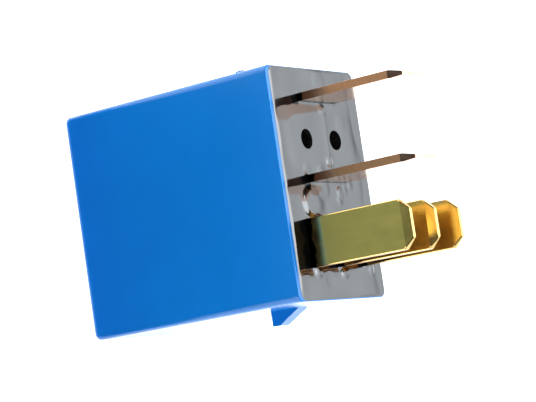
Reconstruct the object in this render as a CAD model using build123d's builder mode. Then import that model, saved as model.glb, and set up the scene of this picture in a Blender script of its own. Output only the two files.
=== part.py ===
"""Plug-in changeover relay with five blade terminals, in millimetres.

The relay stands on the closed end of its cover: +Z points from there to the blade tips, X runs along
the cover's long side and Y across it. The origin is the centre of the closed end. The works are drawn
at rest, with the coil off and the armature held open against the normally closed contact.
"""

import os
from math import asin, atan, cos, degrees, sin

from build123d import *

os.makedirs("parts", exist_ok=True)

# Cover
COVER_X, COVER_Y, COVER_Z = 23.0, 15.4, 25.45
WALL, END_WALL = 0.8, 1.0
CORNER_R, END_R, INNER_R = 0.7, 0.5, 0.3
RIM_LAND = 0.45  # flat left on the rim outside its lead-in chamfer
LEAD_IN_Z = 0.6
RIM_EDGE_R = 0.12
RIB_DEPTH, RIB_WIDTH, RIB_X = 0.5, 0.9, 8.6
CAVITY_X, CAVITY_Y = COVER_X - 2 * WALL, COVER_Y - 2 * WALL

# Snap wedges on the narrow sides
WEDGE_Y, WEDGE_OUT = 1.6, 1.43
WEDGE_CATCH_Z, WEDGE_CREST_Z, WEDGE_TOE_Z = 17.2, 18.1, 20.6

# Base plate and sealing compound
FIT = 0.05
BASE_X, BASE_Y = CAVITY_X - 2 * FIT, CAVITY_Y - 2 * FIT
BASE_LOW, BASE_TOP, SEAL_TOP = 22.2, 24.2, 25.2
STOP_GAP = 0.02
ISLAND_X, ISLAND_Y, ISLAND_R = 5.2, 11.6, 0.9
ISLAND_AT, ISLAND_TOP = -4.5, COVER_Z + 0.05
VENT_R, VENT_X, VENT_Y = 1.0, -4.32, 2.55
SLOT_GAP = 0.05

# Blades: thickness, tip height and the cuts that narrow the tip
BLADE_T, TIP_Z = 0.8, 37.1
TIP_SIDE, TIP_SIDE_Z = 1.0, 1.1
TIP_BEVEL, TIP_BEVEL_Z = 0.2, 0.9
WIDE, NARROW = 6.3, 4.8
COMMON_X, OPEN_X, ROW_X = -8.4, -0.4, 5.95
COIL_Y = 4.5

# Magnet frame
HINGE_X, HINGE_Z = -8.0, 6.2
YOKE_T, YOKE_Y = 1.3, 9.6
YOKE_BEND_R, STRIP_BEND_R, SPRING_BEND_R = 0.9, 0.45, 0.6
YOKE_TOP = 20.3
YOKE_END_X = 2.4
LUG_Y, LUG_Z = 0.8, 1.0
CORE_X, CORE_R, TENON_R = -1.3, 2.1, 1.5
POLE_R, POLE_T = 3.2, 0.88
CLOSED_GAP = 0.02

# Bobbin and winding
FLANGE_X, FLANGE_Y, FLANGE_T = 10.4, 10.8, 0.8
BOBBIN_LOW, BOBBIN_TOP = HINGE_Z + 0.9, YOKE_TOP - YOKE_T
TUBE_R, WINDING_R = 2.6, 4.6
ARM_X, ARM_Y = 7.8, (3.3, 5.9)

# Coil terminal legs, with the wire wrapped round them
LEG_X = (5.2, 7.0)
LEG_LOW = 14.6
WRAP_Z, WRAP_T, WRAP_H = 16.6, 0.22, 1.0
WIRE_R, LEAD_OUT_R = 0.1, 1.2

# Contacts
CONTACT_X = 6.8
CONTACT_R, CONTACT_H, DOME_H = 1.4, 0.6, 0.12
STAKE_SPREAD, STAKED_H = 0.35, 0.25  # the shank's riveted-over end
CONTACT_TRAVEL = 0.75
CARRIER_Y = 4.0
OPEN_LEG_X, CLOSED_LEG_X = 4.2, 8.6
JOG_Z = 21.3

# Armature and its springs
ARMATURE_T, ARMATURE_Y, ARMATURE_X = 1.2, 9.4, 10.9
NOTCH_X, NOTCH_Y = 1.5, 0.95
HINGE_SPRING_T, HINGE_SPRING_Y = 0.2, 6.0
CONTACT_SPRING_T, CONTACT_SPRING_Y = 0.25, 5.6
ARM_RIVET_X, ARM_RIVET_Y = 2.6, 1.7
RIVET_R, RIVET_HEAD_R, RIVET_HEAD_H = 0.65, 1.1, 0.45

# Suppression resistor across the coil
RESISTOR_X, RESISTOR_Z, RESISTOR_R, RESISTOR_L = 6.3, 12.4, 1.0, 5.4
LEAD_R, LEAD_BEND_R = 0.22, 0.6

# What follows from the above
OPEN_ANGLE = degrees(asin(CONTACT_TRAVEL / (CONTACT_X - HINGE_X)))
REACH = CONTACT_X - HINGE_X
ARMATURE_LOW = -CLOSED_GAP - ARMATURE_T
SPRING_LOW = ARMATURE_LOW - HINGE_SPRING_T - CONTACT_SPRING_T


def swung(x, z):
    """Where a point of the armature's own section stands in X and Z while the coil is off."""
    a = asin(CONTACT_TRAVEL / REACH)
    return HINGE_X + x * cos(a) + z * sin(a), HINGE_Z - x * sin(a) + z * cos(a)


def armature_plane(height=0.0):
    """The armature's working plane: x runs from the hinge edge, z towards the core."""
    tilted = Plane((HINGE_X, 0, HINGE_Z), x_dir=(1, 0, 0), z_dir=(0, 0, 1)).rotated((0, OPEN_ANGLE, 0))
    return tilted.offset(height)


def save(part, name):
    """Labels a finished piece and writes its STEP file."""
    part.label = name
    export_step(part, f"parts/{name}.step")


def blade_plane(x, y, faces_y):
    """A plane through a blade's middle, with its own x across the blade's width."""
    if faces_y:
        return Plane((x, y, 0), x_dir=(1, 0, 0), z_dir=(0, -1, 0))
    return Plane((x, y, 0), x_dir=(0, 1, 0), z_dir=(1, 0, 0))


def blade_outline(width, low):
    """Front outline of a blade from its lower end to the tapered tip, for an active BuildLine."""
    half, neck, shoulder = width / 2, width / 2 - TIP_SIDE, TIP_Z - TIP_SIDE_Z
    Polyline(
        (-half, low),
        (half, low),
        (half, shoulder),
        (neck, TIP_Z),
        (-neck, TIP_Z),
        (-half, shoulder),
        close=True,
    )


def tip_bevel_section():
    """The two thin triangles that bevel a tip's broad faces, for an active BuildSketch."""
    outer, low = BLADE_T / 2, TIP_Z - TIP_BEVEL_Z
    for side in (-1, 1):
        Polygon((side * outer, low), (side * outer, TIP_Z), (side * (outer - TIP_BEVEL), TIP_Z), align=None)


# Cover: a box open at the rim, with a lead-in chamfer, stop ribs and two snap wedges

with BuildPart() as cover:
    with BuildSketch():
        RectangleRounded(COVER_X, COVER_Y, CORNER_R)
    extrude(amount=COVER_Z)
    fillet(cover.faces().sort_by(Axis.Z)[0].edges(), END_R)
    fillet(cover.faces().sort_by(Axis.Z)[-1].edges(), RIM_EDGE_R)
    with BuildSketch(Plane.XY.offset(END_WALL)):
        RectangleRounded(CAVITY_X, CAVITY_Y, INNER_R)
    extrude(amount=COVER_Z, mode=Mode.SUBTRACT)
    with BuildSketch(Plane.XY.offset(COVER_Z - LEAD_IN_Z)):
        RectangleRounded(CAVITY_X, CAVITY_Y, INNER_R)
    extrude(
        amount=LEAD_IN_Z, taper=-degrees(atan((WALL - RIM_LAND) / LEAD_IN_Z)), mode=Mode.SUBTRACT
    )
    with BuildSketch(Plane.XY.offset(END_WALL)):
        with GridLocations(2 * RIB_X, CAVITY_Y - RIB_DEPTH, 2, 2):
            Rectangle(RIB_WIDTH, RIB_DEPTH)
    extrude(amount=BASE_LOW - STOP_GAP - END_WALL)
    with BuildSketch(Plane.XZ.offset(-WEDGE_Y / 2)) as wedge_profiles:
        for side in (-1, 1):
            root, crest = side * (COVER_X / 2 - WALL / 2), side * (COVER_X / 2 + WEDGE_OUT)
            with BuildLine():
                Polyline(
                    (root, WEDGE_CATCH_Z),
                    (crest, WEDGE_CATCH_Z),
                    (crest, WEDGE_CREST_Z),
                    (side * COVER_X / 2, WEDGE_TOE_Z),
                    (root, WEDGE_TOE_Z),
                    close=True,
                )
            make_face()
    extrude(amount=WEDGE_Y)
save(cover.part, "cover")

# Base plate: slotted for the five terminals, with a raised island round two breather holes

SLOTS = [
    (COMMON_X, 0, BLADE_T, WIDE),
    (OPEN_X, 0, BLADE_T, WIDE),
    (ROW_X, -COIL_Y, NARROW, BLADE_T),
    (ROW_X, 0, NARROW, BLADE_T),
    (ROW_X, COIL_Y, NARROW, BLADE_T),
]

with BuildPart() as base_plate:
    with BuildSketch(Plane.XY.offset(BASE_LOW)):
        RectangleRounded(BASE_X, BASE_Y, INNER_R)
    extrude(amount=BASE_TOP - BASE_LOW)
    with BuildSketch(Plane.XY.offset(BASE_TOP)):
        with Locations((ISLAND_AT, 0)):
            RectangleRounded(ISLAND_X, ISLAND_Y, ISLAND_R)
    extrude(amount=ISLAND_TOP - BASE_TOP)
    fillet(base_plate.faces().sort_by(Axis.Z)[-1].edges(), 0.15)
    for x, y, across_x, across_y in SLOTS:
        with BuildSketch(Plane.XY.offset(BASE_LOW)):
            with Locations((x, y)):
                Rectangle(across_x + 2 * SLOT_GAP, across_y + 2 * SLOT_GAP)
        extrude(amount=BASE_TOP - BASE_LOW, mode=Mode.SUBTRACT)
    with BuildSketch(Plane.XY.offset(BASE_LOW)):
        with Locations((VENT_X, -VENT_Y), (VENT_X, VENT_Y)):
            Circle(VENT_R)
    extrude(amount=ISLAND_TOP - BASE_LOW, mode=Mode.SUBTRACT)
save(base_plate.part, "base_plate")

# Sealing compound: poured over the plate up to just under the rim, round the island and the blades

with BuildPart() as sealing_compound:
    with BuildSketch(Plane.XY.offset(BASE_TOP)):
        RectangleRounded(BASE_X, BASE_Y, INNER_R)
    extrude(amount=COVER_Z - LEAD_IN_Z - BASE_TOP)
    with BuildSketch(Plane.XY.offset(COVER_Z - LEAD_IN_Z)):
        RectangleRounded(BASE_X, BASE_Y, INNER_R)
    extrude(
        amount=SEAL_TOP - COVER_Z + LEAD_IN_Z, taper=-degrees(atan((WALL - RIM_LAND) / LEAD_IN_Z))
    )
    with BuildSketch(Plane.XY.offset(BASE_TOP)):
        with Locations((ISLAND_AT, 0)):
            RectangleRounded(ISLAND_X, ISLAND_Y, ISLAND_R)
    extrude(amount=SEAL_TOP, mode=Mode.SUBTRACT)
    for x, y, across_x, across_y in SLOTS:
        with BuildSketch(Plane.XY.offset(BASE_TOP)):
            with Locations((x, y)):
                Rectangle(across_x, across_y)
        extrude(amount=SEAL_TOP, mode=Mode.SUBTRACT)
save(sealing_compound.part, "sealing_compound")

# Common terminal: a straight wide blade that runs on down the outside of the yoke

RIVET_Z, RIVET_Y = 17.2, 1.8
COMMON_LOW = 15.4

with BuildPart() as common:
    with BuildSketch(blade_plane(COMMON_X, 0, False)):
        with BuildLine():
            blade_outline(WIDE, COMMON_LOW)
        make_face()
    extrude(amount=BLADE_T / 2, both=True)
    with BuildSketch(Plane.XZ):
        with Locations((COMMON_X, 0)):
            tip_bevel_section()
    extrude(amount=WIDE, both=True, mode=Mode.SUBTRACT)
    fillet(common.edges().filter_by(Axis.X).group_by(Axis.Z)[0], 0.6)
    with BuildSketch(blade_plane(COMMON_X, 0, False)):
        with Locations((-RIVET_Y, RIVET_Z), (RIVET_Y, RIVET_Z)):
            Circle(RIVET_R)
    extrude(amount=BLADE_T, both=True, mode=Mode.SUBTRACT)
save(common.part, "terminal_30_common")

# Normally open terminal: a wide blade whose strip steps sideways under the base, then down to its contact

OPEN_PAD = BLADE_T / 2
CLOSED_TOP = HINGE_Z + SPRING_LOW + CONTACT_SPRING_T + CONTACT_H
OPEN_FACE = CLOSED_TOP + CLOSED_GAP
OPEN_PAD_Z = OPEN_FACE + CONTACT_H + OPEN_PAD

with BuildPart() as normally_open:
    with BuildSketch(blade_plane(OPEN_X, 0, False)):
        with BuildLine():
            blade_outline(WIDE, BASE_LOW - BLADE_T / 2)
        make_face()
    extrude(amount=BLADE_T / 2, both=True)
    with BuildSketch(Plane.XZ):
        with Locations((OPEN_X, 0)):
            tip_bevel_section()
    extrude(amount=WIDE, both=True, mode=Mode.SUBTRACT)
    with BuildSketch(Plane.XZ):
        with BuildLine():
            FilletPolyline(
                (OPEN_X, BASE_LOW + BLADE_T),
                (OPEN_X, JOG_Z + OPEN_PAD),
                (OPEN_LEG_X + OPEN_PAD, JOG_Z + OPEN_PAD),
                (OPEN_LEG_X + OPEN_PAD, OPEN_PAD_Z),
                (CONTACT_X + CONTACT_R + 0.1, OPEN_PAD_Z),
                radius=STRIP_BEND_R,
            )
        trace(line_width=BLADE_T)
    extrude(amount=CARRIER_Y / 2, both=True)
    with BuildSketch(Plane.XY.offset(OPEN_PAD_Z - BLADE_T)):
        with Locations((CONTACT_X, 0)):
            Circle(RIVET_R)
    extrude(amount=2 * BLADE_T, mode=Mode.SUBTRACT)
save(normally_open.part, "terminal_87_normally_open")

# Normally closed terminal: a narrow blade staked through the top of its contact carrier

STAKE_X, STAKE_W = 7.2, 1.8
CARRIER_TOP = JOG_Z + BLADE_T

with BuildPart() as normally_closed:
    with BuildSketch(blade_plane(ROW_X, 0, True)):
        with BuildLine():
            blade_outline(NARROW, CARRIER_TOP)
        make_face()
        with Locations((STAKE_X - ROW_X, JOG_Z + BLADE_T / 2)):
            Rectangle(STAKE_W, BLADE_T)
    extrude(amount=BLADE_T / 2, both=True)
    with BuildSketch(Plane.YZ):
        tip_bevel_section()
    extrude(amount=2 * ROW_X, both=True, mode=Mode.SUBTRACT)
save(normally_closed.part, "terminal_87a_normally_closed")

CLOSED_APEX = swung(REACH, SPRING_LOW - CONTACT_H)[1]
CLOSED_FACE = CLOSED_APEX - CLOSED_GAP
CLOSED_PAD_Z = CLOSED_FACE - CONTACT_H - OPEN_PAD

with BuildPart() as closed_carrier:
    with BuildSketch(Plane.XZ):
        with BuildLine():
            FilletPolyline(
                (OPEN_LEG_X + BLADE_T + 0.75, JOG_Z + OPEN_PAD),
                (CLOSED_LEG_X + OPEN_PAD, JOG_Z + OPEN_PAD),
                (CLOSED_LEG_X + OPEN_PAD, CLOSED_PAD_Z),
                (CONTACT_X - CONTACT_R - 0.1, CLOSED_PAD_Z),
                radius=STRIP_BEND_R,
            )
        trace(line_width=BLADE_T)
    extrude(amount=CARRIER_Y / 2, both=True)
    with BuildSketch(Plane.XY.offset(JOG_Z - BLADE_T)):
        with Locations((STAKE_X, 0)):
            Rectangle(STAKE_W, BLADE_T)
    extrude(amount=3 * BLADE_T, mode=Mode.SUBTRACT)
    with BuildSketch(Plane.XY.offset(CLOSED_PAD_Z - BLADE_T)):
        with Locations((CONTACT_X, 0)):
            Circle(RIVET_R)
    extrude(amount=2 * BLADE_T, mode=Mode.SUBTRACT)
save(closed_carrier.part, "normally_closed_carrier")

# Coil terminals: two narrow blades whose legs narrow under the base and take the coil wire

for name, y in (("terminal_85_coil", -COIL_Y), ("terminal_86_coil", COIL_Y)):
    with BuildPart() as coil_terminal:
        with BuildSketch(blade_plane(ROW_X, y, True)):
            with BuildLine():
                blade_outline(NARROW, BASE_LOW - BLADE_T)
            make_face()
            with Locations(((LEG_X[0] + LEG_X[1]) / 2 - ROW_X, (BASE_LOW + LEG_LOW) / 2)):
                Rectangle(LEG_X[1] - LEG_X[0], BASE_LOW - LEG_LOW)
        extrude(amount=BLADE_T / 2, both=True)
        with BuildSketch(Plane.YZ):
            with Locations((y, 0)):
                tip_bevel_section()
        extrude(amount=2 * ROW_X, both=True, mode=Mode.SUBTRACT)
    save(coil_terminal.part, name)

# Yoke: an L-shaped iron strip with locating lugs beside the armature's hinge edge

YOKE_MID = HINGE_X + YOKE_T / 2
SPRING_RIVET_Z = 10.6

with BuildPart() as yoke:
    with BuildSketch(Plane.XZ):
        with BuildLine():
            FilletPolyline(
                (YOKE_MID, HINGE_Z),
                (YOKE_MID, YOKE_TOP - YOKE_T / 2),
                (YOKE_END_X, YOKE_TOP - YOKE_T / 2),
                radius=YOKE_BEND_R,
            )
        trace(line_width=YOKE_T)
    extrude(amount=YOKE_Y / 2, both=True)
    with BuildSketch(Plane.XY.offset(HINGE_Z - LUG_Z)):
        with GridLocations(0, YOKE_Y - LUG_Y, 1, 2):
            with Locations((YOKE_MID, 0)):
                Rectangle(YOKE_T, LUG_Y)
    extrude(amount=LUG_Z)
    with BuildSketch(Plane.XY.offset(YOKE_TOP - YOKE_T)):
        with Locations((CORE_X, 0)):
            Circle(TENON_R)
    extrude(amount=YOKE_T, mode=Mode.SUBTRACT)
    with BuildSketch(Plane.YZ.offset(HINGE_X)):
        for rivet_z in (RIVET_Z, SPRING_RIVET_Z):
            with Locations((-RIVET_Y, rivet_z), (RIVET_Y, rivet_z)):
                Circle(RIVET_R)
    extrude(amount=YOKE_T, mode=Mode.SUBTRACT)
    fillet(yoke.edges().filter_by(Axis.Z).group_by(Axis.X)[-1], 1.2)
save(yoke.part, "yoke")

# Iron core: pole head, shank through the bobbin, tenon through the yoke and its riveted head

with BuildPart() as iron_core:
    with BuildSketch(Plane.XY.offset(HINGE_Z + CLOSED_GAP)):
        with Locations((CORE_X, 0)):
            Circle(POLE_R)
    extrude(amount=POLE_T)
    fillet(iron_core.faces().sort_by(Axis.Z)[0].edges(), 0.15)
    with BuildSketch(Plane.XY.offset(BOBBIN_LOW)):
        with Locations((CORE_X, 0)):
            Circle(CORE_R)
    extrude(amount=BOBBIN_TOP - BOBBIN_LOW)
    with BuildSketch(Plane.XY.offset(BOBBIN_TOP)):
        with Locations((CORE_X, 0)):
            Circle(TENON_R)
    extrude(amount=YOKE_T)
    with BuildSketch(Plane.XY.offset(YOKE_TOP)):
        with Locations((CORE_X, 0)):
            Circle(TENON_R + 0.4)
    extrude(amount=0.35)
    fillet(iron_core.faces().sort_by(Axis.Z)[-1].edges(), 0.2)
save(iron_core.part, "iron_core")

# Bobbin: a tube with two flanges; the upper one reaches out in two arms to the coil terminals' legs

with BuildPart() as bobbin:
    for low in (BOBBIN_LOW, BOBBIN_TOP - FLANGE_T):
        with BuildSketch(Plane.XY.offset(low)):
            with Locations((CORE_X, 0)):
                RectangleRounded(FLANGE_X, FLANGE_Y, 1.0)
        extrude(amount=FLANGE_T)
    with BuildSketch(Plane.XY.offset(BOBBIN_TOP - FLANGE_T)):
        for side in (-1, 1):
            with Locations(((CORE_X + ARM_X) / 2, side * sum(ARM_Y) / 2)):
                Rectangle(ARM_X - CORE_X, ARM_Y[1] - ARM_Y[0])
    extrude(amount=FLANGE_T)
    with BuildSketch(Plane.XY.offset(BOBBIN_LOW)):
        with Locations((CORE_X, 0)):
            Circle(TUBE_R)
    extrude(amount=BOBBIN_TOP - BOBBIN_LOW)
    with BuildSketch(Plane.XY.offset(BOBBIN_LOW)):
        with Locations((CORE_X, 0)):
            Circle(CORE_R + 0.03)
    extrude(amount=BOBBIN_TOP - BOBBIN_LOW, mode=Mode.SUBTRACT)
    with BuildSketch(Plane.XY.offset(BOBBIN_TOP - FLANGE_T)):
        for side in (-1, 1):
            with Locations(((LEG_X[0] + LEG_X[1]) / 2, side * COIL_Y)):
                Rectangle(LEG_X[1] - LEG_X[0] + 0.06, BLADE_T + 0.06)
    extrude(amount=FLANGE_T, mode=Mode.SUBTRACT)
save(bobbin.part, "bobbin")

# Winding: the closed outer shape of all the turns between the flanges

with BuildPart() as coil_winding:
    with BuildSketch(Plane.XY.offset(BOBBIN_LOW + FLANGE_T)):
        with Locations((CORE_X, 0)):
            Circle(WINDING_R)
            Circle(TUBE_R, mode=Mode.SUBTRACT)
    extrude(amount=BOBBIN_TOP - BOBBIN_LOW - 2 * FLANGE_T)
save(coil_winding.part, "coil_winding")

# Coil ends: one wire from the winding to each coil terminal, wrapped round its leg

WRAP_X = (LEG_X[0] + LEG_X[1]) / 2

with BuildPart() as coil_ends:
    for side in (-1, 1):
        with BuildLine() as run:
            FilletPolyline(
                (CORE_X + 3.3, side * 3.25, WRAP_Z + 0.1),
                (CORE_X + 5.2, side * 3.75, WRAP_Z + 0.35),
                (LEG_X[0] - WRAP_T / 2, side * (COIL_Y - 0.2), WRAP_Z + WRAP_H / 2),
                radius=LEAD_OUT_R,
            )
        with BuildSketch(Plane(run.edges()[0] @ 0, z_dir=run.edges()[0] % 0)):
            Circle(WIRE_R)
        sweep(path=run.wires()[0])
        with BuildSketch(Plane.XY.offset(WRAP_Z)):
            with Locations((WRAP_X, side * COIL_Y)):
                RectangleRounded(LEG_X[1] - LEG_X[0] + 2 * WRAP_T, BLADE_T + 2 * WRAP_T, WRAP_T)
                Rectangle(LEG_X[1] - LEG_X[0], BLADE_T, mode=Mode.SUBTRACT)
        extrude(amount=WRAP_H)
save(coil_ends.part, "coil_ends")

# Suppression resistor: a body with swelled ends, and two leads bent up beside the coil terminals

LEAD_Y = COIL_Y - BLADE_T / 2 - LEAD_R

with BuildPart() as resistor:
    with BuildSketch(Plane.XY):
        with BuildLine():
            Polyline((0, 0), (RESISTOR_L / 2, 0), (RESISTOR_L / 2, RESISTOR_R * 0.75))
            ThreePointArc(
                (RESISTOR_L / 2, RESISTOR_R * 0.75),
                (RESISTOR_L / 2 - 0.6, RESISTOR_R),
                (RESISTOR_L / 2 - 1.3, RESISTOR_R * 0.84),
            )
            Line((RESISTOR_L / 2 - 1.3, RESISTOR_R * 0.84), (0, RESISTOR_R * 0.84))
            Line((0, RESISTOR_R * 0.84), (0, 0))
        make_face()
        mirror(about=Plane.YZ)
    revolve(axis=Axis.X)
resistor_place = Location((RESISTOR_X, 0, RESISTOR_Z), (0, 0, 90))
save(resistor.part.moved(resistor_place), "suppression_resistor")

with BuildPart() as resistor_leads:
    for side in (-1, 1):
        with BuildLine() as lead:
            FilletPolyline(
                (RESISTOR_X, side * RESISTOR_L / 2, RESISTOR_Z),
                (RESISTOR_X, side * LEAD_Y, RESISTOR_Z),
                (RESISTOR_X, side * LEAD_Y, WRAP_Z - 0.4),
                radius=LEAD_BEND_R,
            )
        with BuildSketch(Plane(lead.edges()[0] @ 0, z_dir=lead.edges()[0] % 0)):
            Circle(LEAD_R)
        sweep(path=lead.wires()[0])
save(resistor_leads.part, "resistor_leads")

# Fixed contacts: a flat head towards the moving contact and a rivet shank through the pad

for name, face, towards in (
    ("normally_open_contact", OPEN_FACE, 1),
    ("normally_closed_contact", CLOSED_FACE, -1),
):
    contact_face = Plane((CONTACT_X, 0, face), x_dir=(1, 0, 0), z_dir=(0, 0, towards))
    with BuildPart() as fixed_contact:
        with BuildSketch(contact_face):
            Circle(CONTACT_R)
        extrude(amount=CONTACT_H)
        fillet(fixed_contact.edges().group_by(Axis.Z)[0 if towards > 0 else -1], 0.1)
        with BuildSketch(contact_face.offset(CONTACT_H)):
            Circle(RIVET_R)
        extrude(amount=BLADE_T)
        with BuildSketch(contact_face.offset(CONTACT_H + BLADE_T)):
            Circle(RIVET_R + STAKE_SPREAD)
        extrude(amount=STAKED_H)
    save(fixed_contact.part, name)

# Rivets through the yoke: one pair holds the common terminal, the other the hinge spring

for name, height, outside in (
    ("terminal_rivets", RIVET_Z, HINGE_X - BLADE_T),
    ("spring_rivets", SPRING_RIVET_Z, HINGE_X - HINGE_SPRING_T),
):
    with BuildPart() as yoke_rivets:
        with BuildSketch(Plane.YZ.offset(outside)):
            with Locations((-RIVET_Y, height), (RIVET_Y, height)):
                Circle(RIVET_R)
        extrude(amount=HINGE_X + YOKE_T - outside)
        with BuildSketch(Plane.YZ.offset(outside)):
            with Locations((-RIVET_Y, height), (RIVET_Y, height)):
                Circle(RIVET_HEAD_R)
        extrude(amount=-RIVET_HEAD_H)
        fillet(yoke_rivets.edges().filter_by(GeomType.CIRCLE).group_by(Axis.X)[0], 0.2)
    save(yoke_rivets.part, name)

# Hinge spring: a leaf riveted to the yoke that bows out round the hinge edge and under the armature

BOW_X = HINGE_X - 1.35
LEAF_X = HINGE_X - HINGE_SPRING_T / 2
LEAF_Z = ARMATURE_LOW - HINGE_SPRING_T / 2
TAB_X = 4.3

with BuildPart() as hinge_spring:
    with BuildSketch(Plane.XZ):
        with BuildLine():
            FilletPolyline(
                (LEAF_X, SPRING_RIVET_Z + 1.5),
                (LEAF_X, HINGE_Z + 1.9),
                (BOW_X, HINGE_Z + 0.5),
                swung(BOW_X - HINGE_X, LEAF_Z),
                swung(TAB_X, LEAF_Z),
                radius=SPRING_BEND_R,
            )
        trace(line_width=HINGE_SPRING_T)
    extrude(amount=HINGE_SPRING_Y / 2, both=True)
    with BuildSketch(Plane.YZ.offset(HINGE_X)):
        with Locations((-RIVET_Y, SPRING_RIVET_Z), (RIVET_Y, SPRING_RIVET_Z)):
            Circle(RIVET_R)
    extrude(amount=-1, mode=Mode.SUBTRACT)
    with BuildSketch(armature_plane(LEAF_Z - 0.5)):
        with Locations((ARM_RIVET_X, -ARM_RIVET_Y), (ARM_RIVET_X, ARM_RIVET_Y)):
            Circle(RIVET_R)
    extrude(amount=1, mode=Mode.SUBTRACT)
save(hinge_spring.part, "hinge_spring")

# Armature: a soft iron plate notched round the yoke's lugs

with BuildPart() as armature:
    with BuildSketch(armature_plane(ARMATURE_LOW)):
        with Locations((ARMATURE_X / 2, 0)):
            RectangleRounded(ARMATURE_X, ARMATURE_Y, 0.4)
        with GridLocations(0, ARMATURE_Y - NOTCH_Y, 1, 2):
            with Locations((NOTCH_X / 2, 0)):
                Rectangle(NOTCH_X, NOTCH_Y, mode=Mode.SUBTRACT)
        with Locations((ARM_RIVET_X, -ARM_RIVET_Y), (ARM_RIVET_X, ARM_RIVET_Y)):
            Circle(RIVET_R, mode=Mode.SUBTRACT)
    extrude(amount=ARMATURE_T)
save(armature.part, "armature")

# Contact spring: a leaf under the armature that carries the moving contact past its end

SPRING_START, NECK_X = 1.4, 11.4

with BuildPart() as contact_spring:
    with BuildSketch(armature_plane(SPRING_LOW)):
        with BuildLine():
            Polyline(
                (SPRING_START, -CONTACT_SPRING_Y / 2),
                (NECK_X, -CONTACT_SPRING_Y / 2),
                (REACH, -CONTACT_R - 0.1),
            )
            ThreePointArc((REACH, -CONTACT_R - 0.1), (REACH + CONTACT_R + 0.1, 0), (REACH, CONTACT_R + 0.1))
            Polyline(
                (REACH, CONTACT_R + 0.1),
                (NECK_X, CONTACT_SPRING_Y / 2),
                (SPRING_START, CONTACT_SPRING_Y / 2),
                (SPRING_START, -CONTACT_SPRING_Y / 2),
            )
        make_face()
        with Locations((ARM_RIVET_X, -ARM_RIVET_Y), (ARM_RIVET_X, ARM_RIVET_Y), (REACH, 0)):
            Circle(RIVET_R, mode=Mode.SUBTRACT)
        with Locations((NECK_X - 1.2, 0)):
            SlotOverall(3.6, 0.9, mode=Mode.SUBTRACT)
    extrude(amount=CONTACT_SPRING_T)
save(contact_spring.part, "contact_spring")

# Moving contact: a domed head on each side of the spring, joined by its shank

SPRING_TOP = SPRING_LOW + CONTACT_SPRING_T
DOME_EDGE_HIGH = SPRING_TOP + CONTACT_H - DOME_H
DOME_EDGE_LOW = SPRING_LOW - CONTACT_H + DOME_H

with BuildPart() as moving_contact:
    with BuildSketch(Plane.XZ):
        with BuildLine():
            Line((0, SPRING_LOW - CONTACT_H), (0, SPRING_TOP + CONTACT_H))
            TangentArc((0, SPRING_TOP + CONTACT_H), (CONTACT_R, DOME_EDGE_HIGH), tangent=(1, 0))
            Polyline(
                (CONTACT_R, DOME_EDGE_HIGH),
                (CONTACT_R, SPRING_TOP),
                (RIVET_R, SPRING_TOP),
                (RIVET_R, SPRING_LOW),
                (CONTACT_R, SPRING_LOW),
                (CONTACT_R, DOME_EDGE_LOW),
            )
            TangentArc((0, SPRING_LOW - CONTACT_H), (CONTACT_R, DOME_EDGE_LOW), tangent=(1, 0))
        make_face()
    revolve(axis=Axis.Z)
save(moving_contact.part.moved(armature_plane().location * Location((REACH, 0, 0))), "moving_contact")

# Armature rivets: hold both springs under the armature, flush with its upper face

with BuildPart() as armature_rivets:
    with BuildSketch(armature_plane(SPRING_LOW)):
        with Locations((ARM_RIVET_X, -ARM_RIVET_Y), (ARM_RIVET_X, ARM_RIVET_Y)):
            Circle(RIVET_R)
    extrude(amount=-CLOSED_GAP - SPRING_LOW)
    with BuildSketch(armature_plane(SPRING_LOW)):
        with Locations((ARM_RIVET_X, -ARM_RIVET_Y), (ARM_RIVET_X, ARM_RIVET_Y)):
            Circle(RIVET_HEAD_R)
    extrude(amount=-RIVET_HEAD_H)
save(armature_rivets.part, "armature_rivets")
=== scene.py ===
"""Plug-in changeover relay: the looks of its cover, sealing compound, blades and works."""

import math

import bmesh
import bpy
import numpy as np
from mathutils import Matrix, Vector


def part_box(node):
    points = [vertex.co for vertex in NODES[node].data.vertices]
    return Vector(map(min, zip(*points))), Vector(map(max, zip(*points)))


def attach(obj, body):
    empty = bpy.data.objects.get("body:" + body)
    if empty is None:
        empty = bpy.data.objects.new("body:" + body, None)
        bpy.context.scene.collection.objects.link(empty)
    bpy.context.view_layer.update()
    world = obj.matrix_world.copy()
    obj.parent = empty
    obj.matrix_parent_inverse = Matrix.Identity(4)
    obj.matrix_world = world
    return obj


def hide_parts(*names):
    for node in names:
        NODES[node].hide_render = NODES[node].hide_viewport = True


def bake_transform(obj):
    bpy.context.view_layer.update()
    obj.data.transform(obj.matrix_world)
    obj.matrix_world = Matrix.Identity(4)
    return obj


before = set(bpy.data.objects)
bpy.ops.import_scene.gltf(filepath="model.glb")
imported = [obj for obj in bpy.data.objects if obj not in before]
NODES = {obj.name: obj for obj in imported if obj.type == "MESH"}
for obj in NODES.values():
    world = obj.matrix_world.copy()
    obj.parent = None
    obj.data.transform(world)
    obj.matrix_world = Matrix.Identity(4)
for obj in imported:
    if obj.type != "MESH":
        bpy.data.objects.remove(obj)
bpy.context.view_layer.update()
MM = 0.001

# Places and sizes of the CAD parts that the finer pieces follow, in millimetres
RIM_Z, BASE_TOP = 25.45, 24.2
COMMON_X, OPEN_X, ROW_X, COIL_Y = -8.4, -0.4, 5.95, 4.5
HALF_THICK, HALF_WIDE, HALF_NARROW = 0.4, 3.15, 2.4
CORE_X, HINGE_X, HINGE_Z = -1.3, -8.0, 6.2
CLOSED_GAP, ARMATURE_T, HINGE_SPRING_T, CONTACT_SPRING_T = 0.02, 1.2, 0.2, 0.25
OPEN_ANGLE = math.radians(2.905)

# ---------------------------------------------------------------- camera, light and floor

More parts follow.
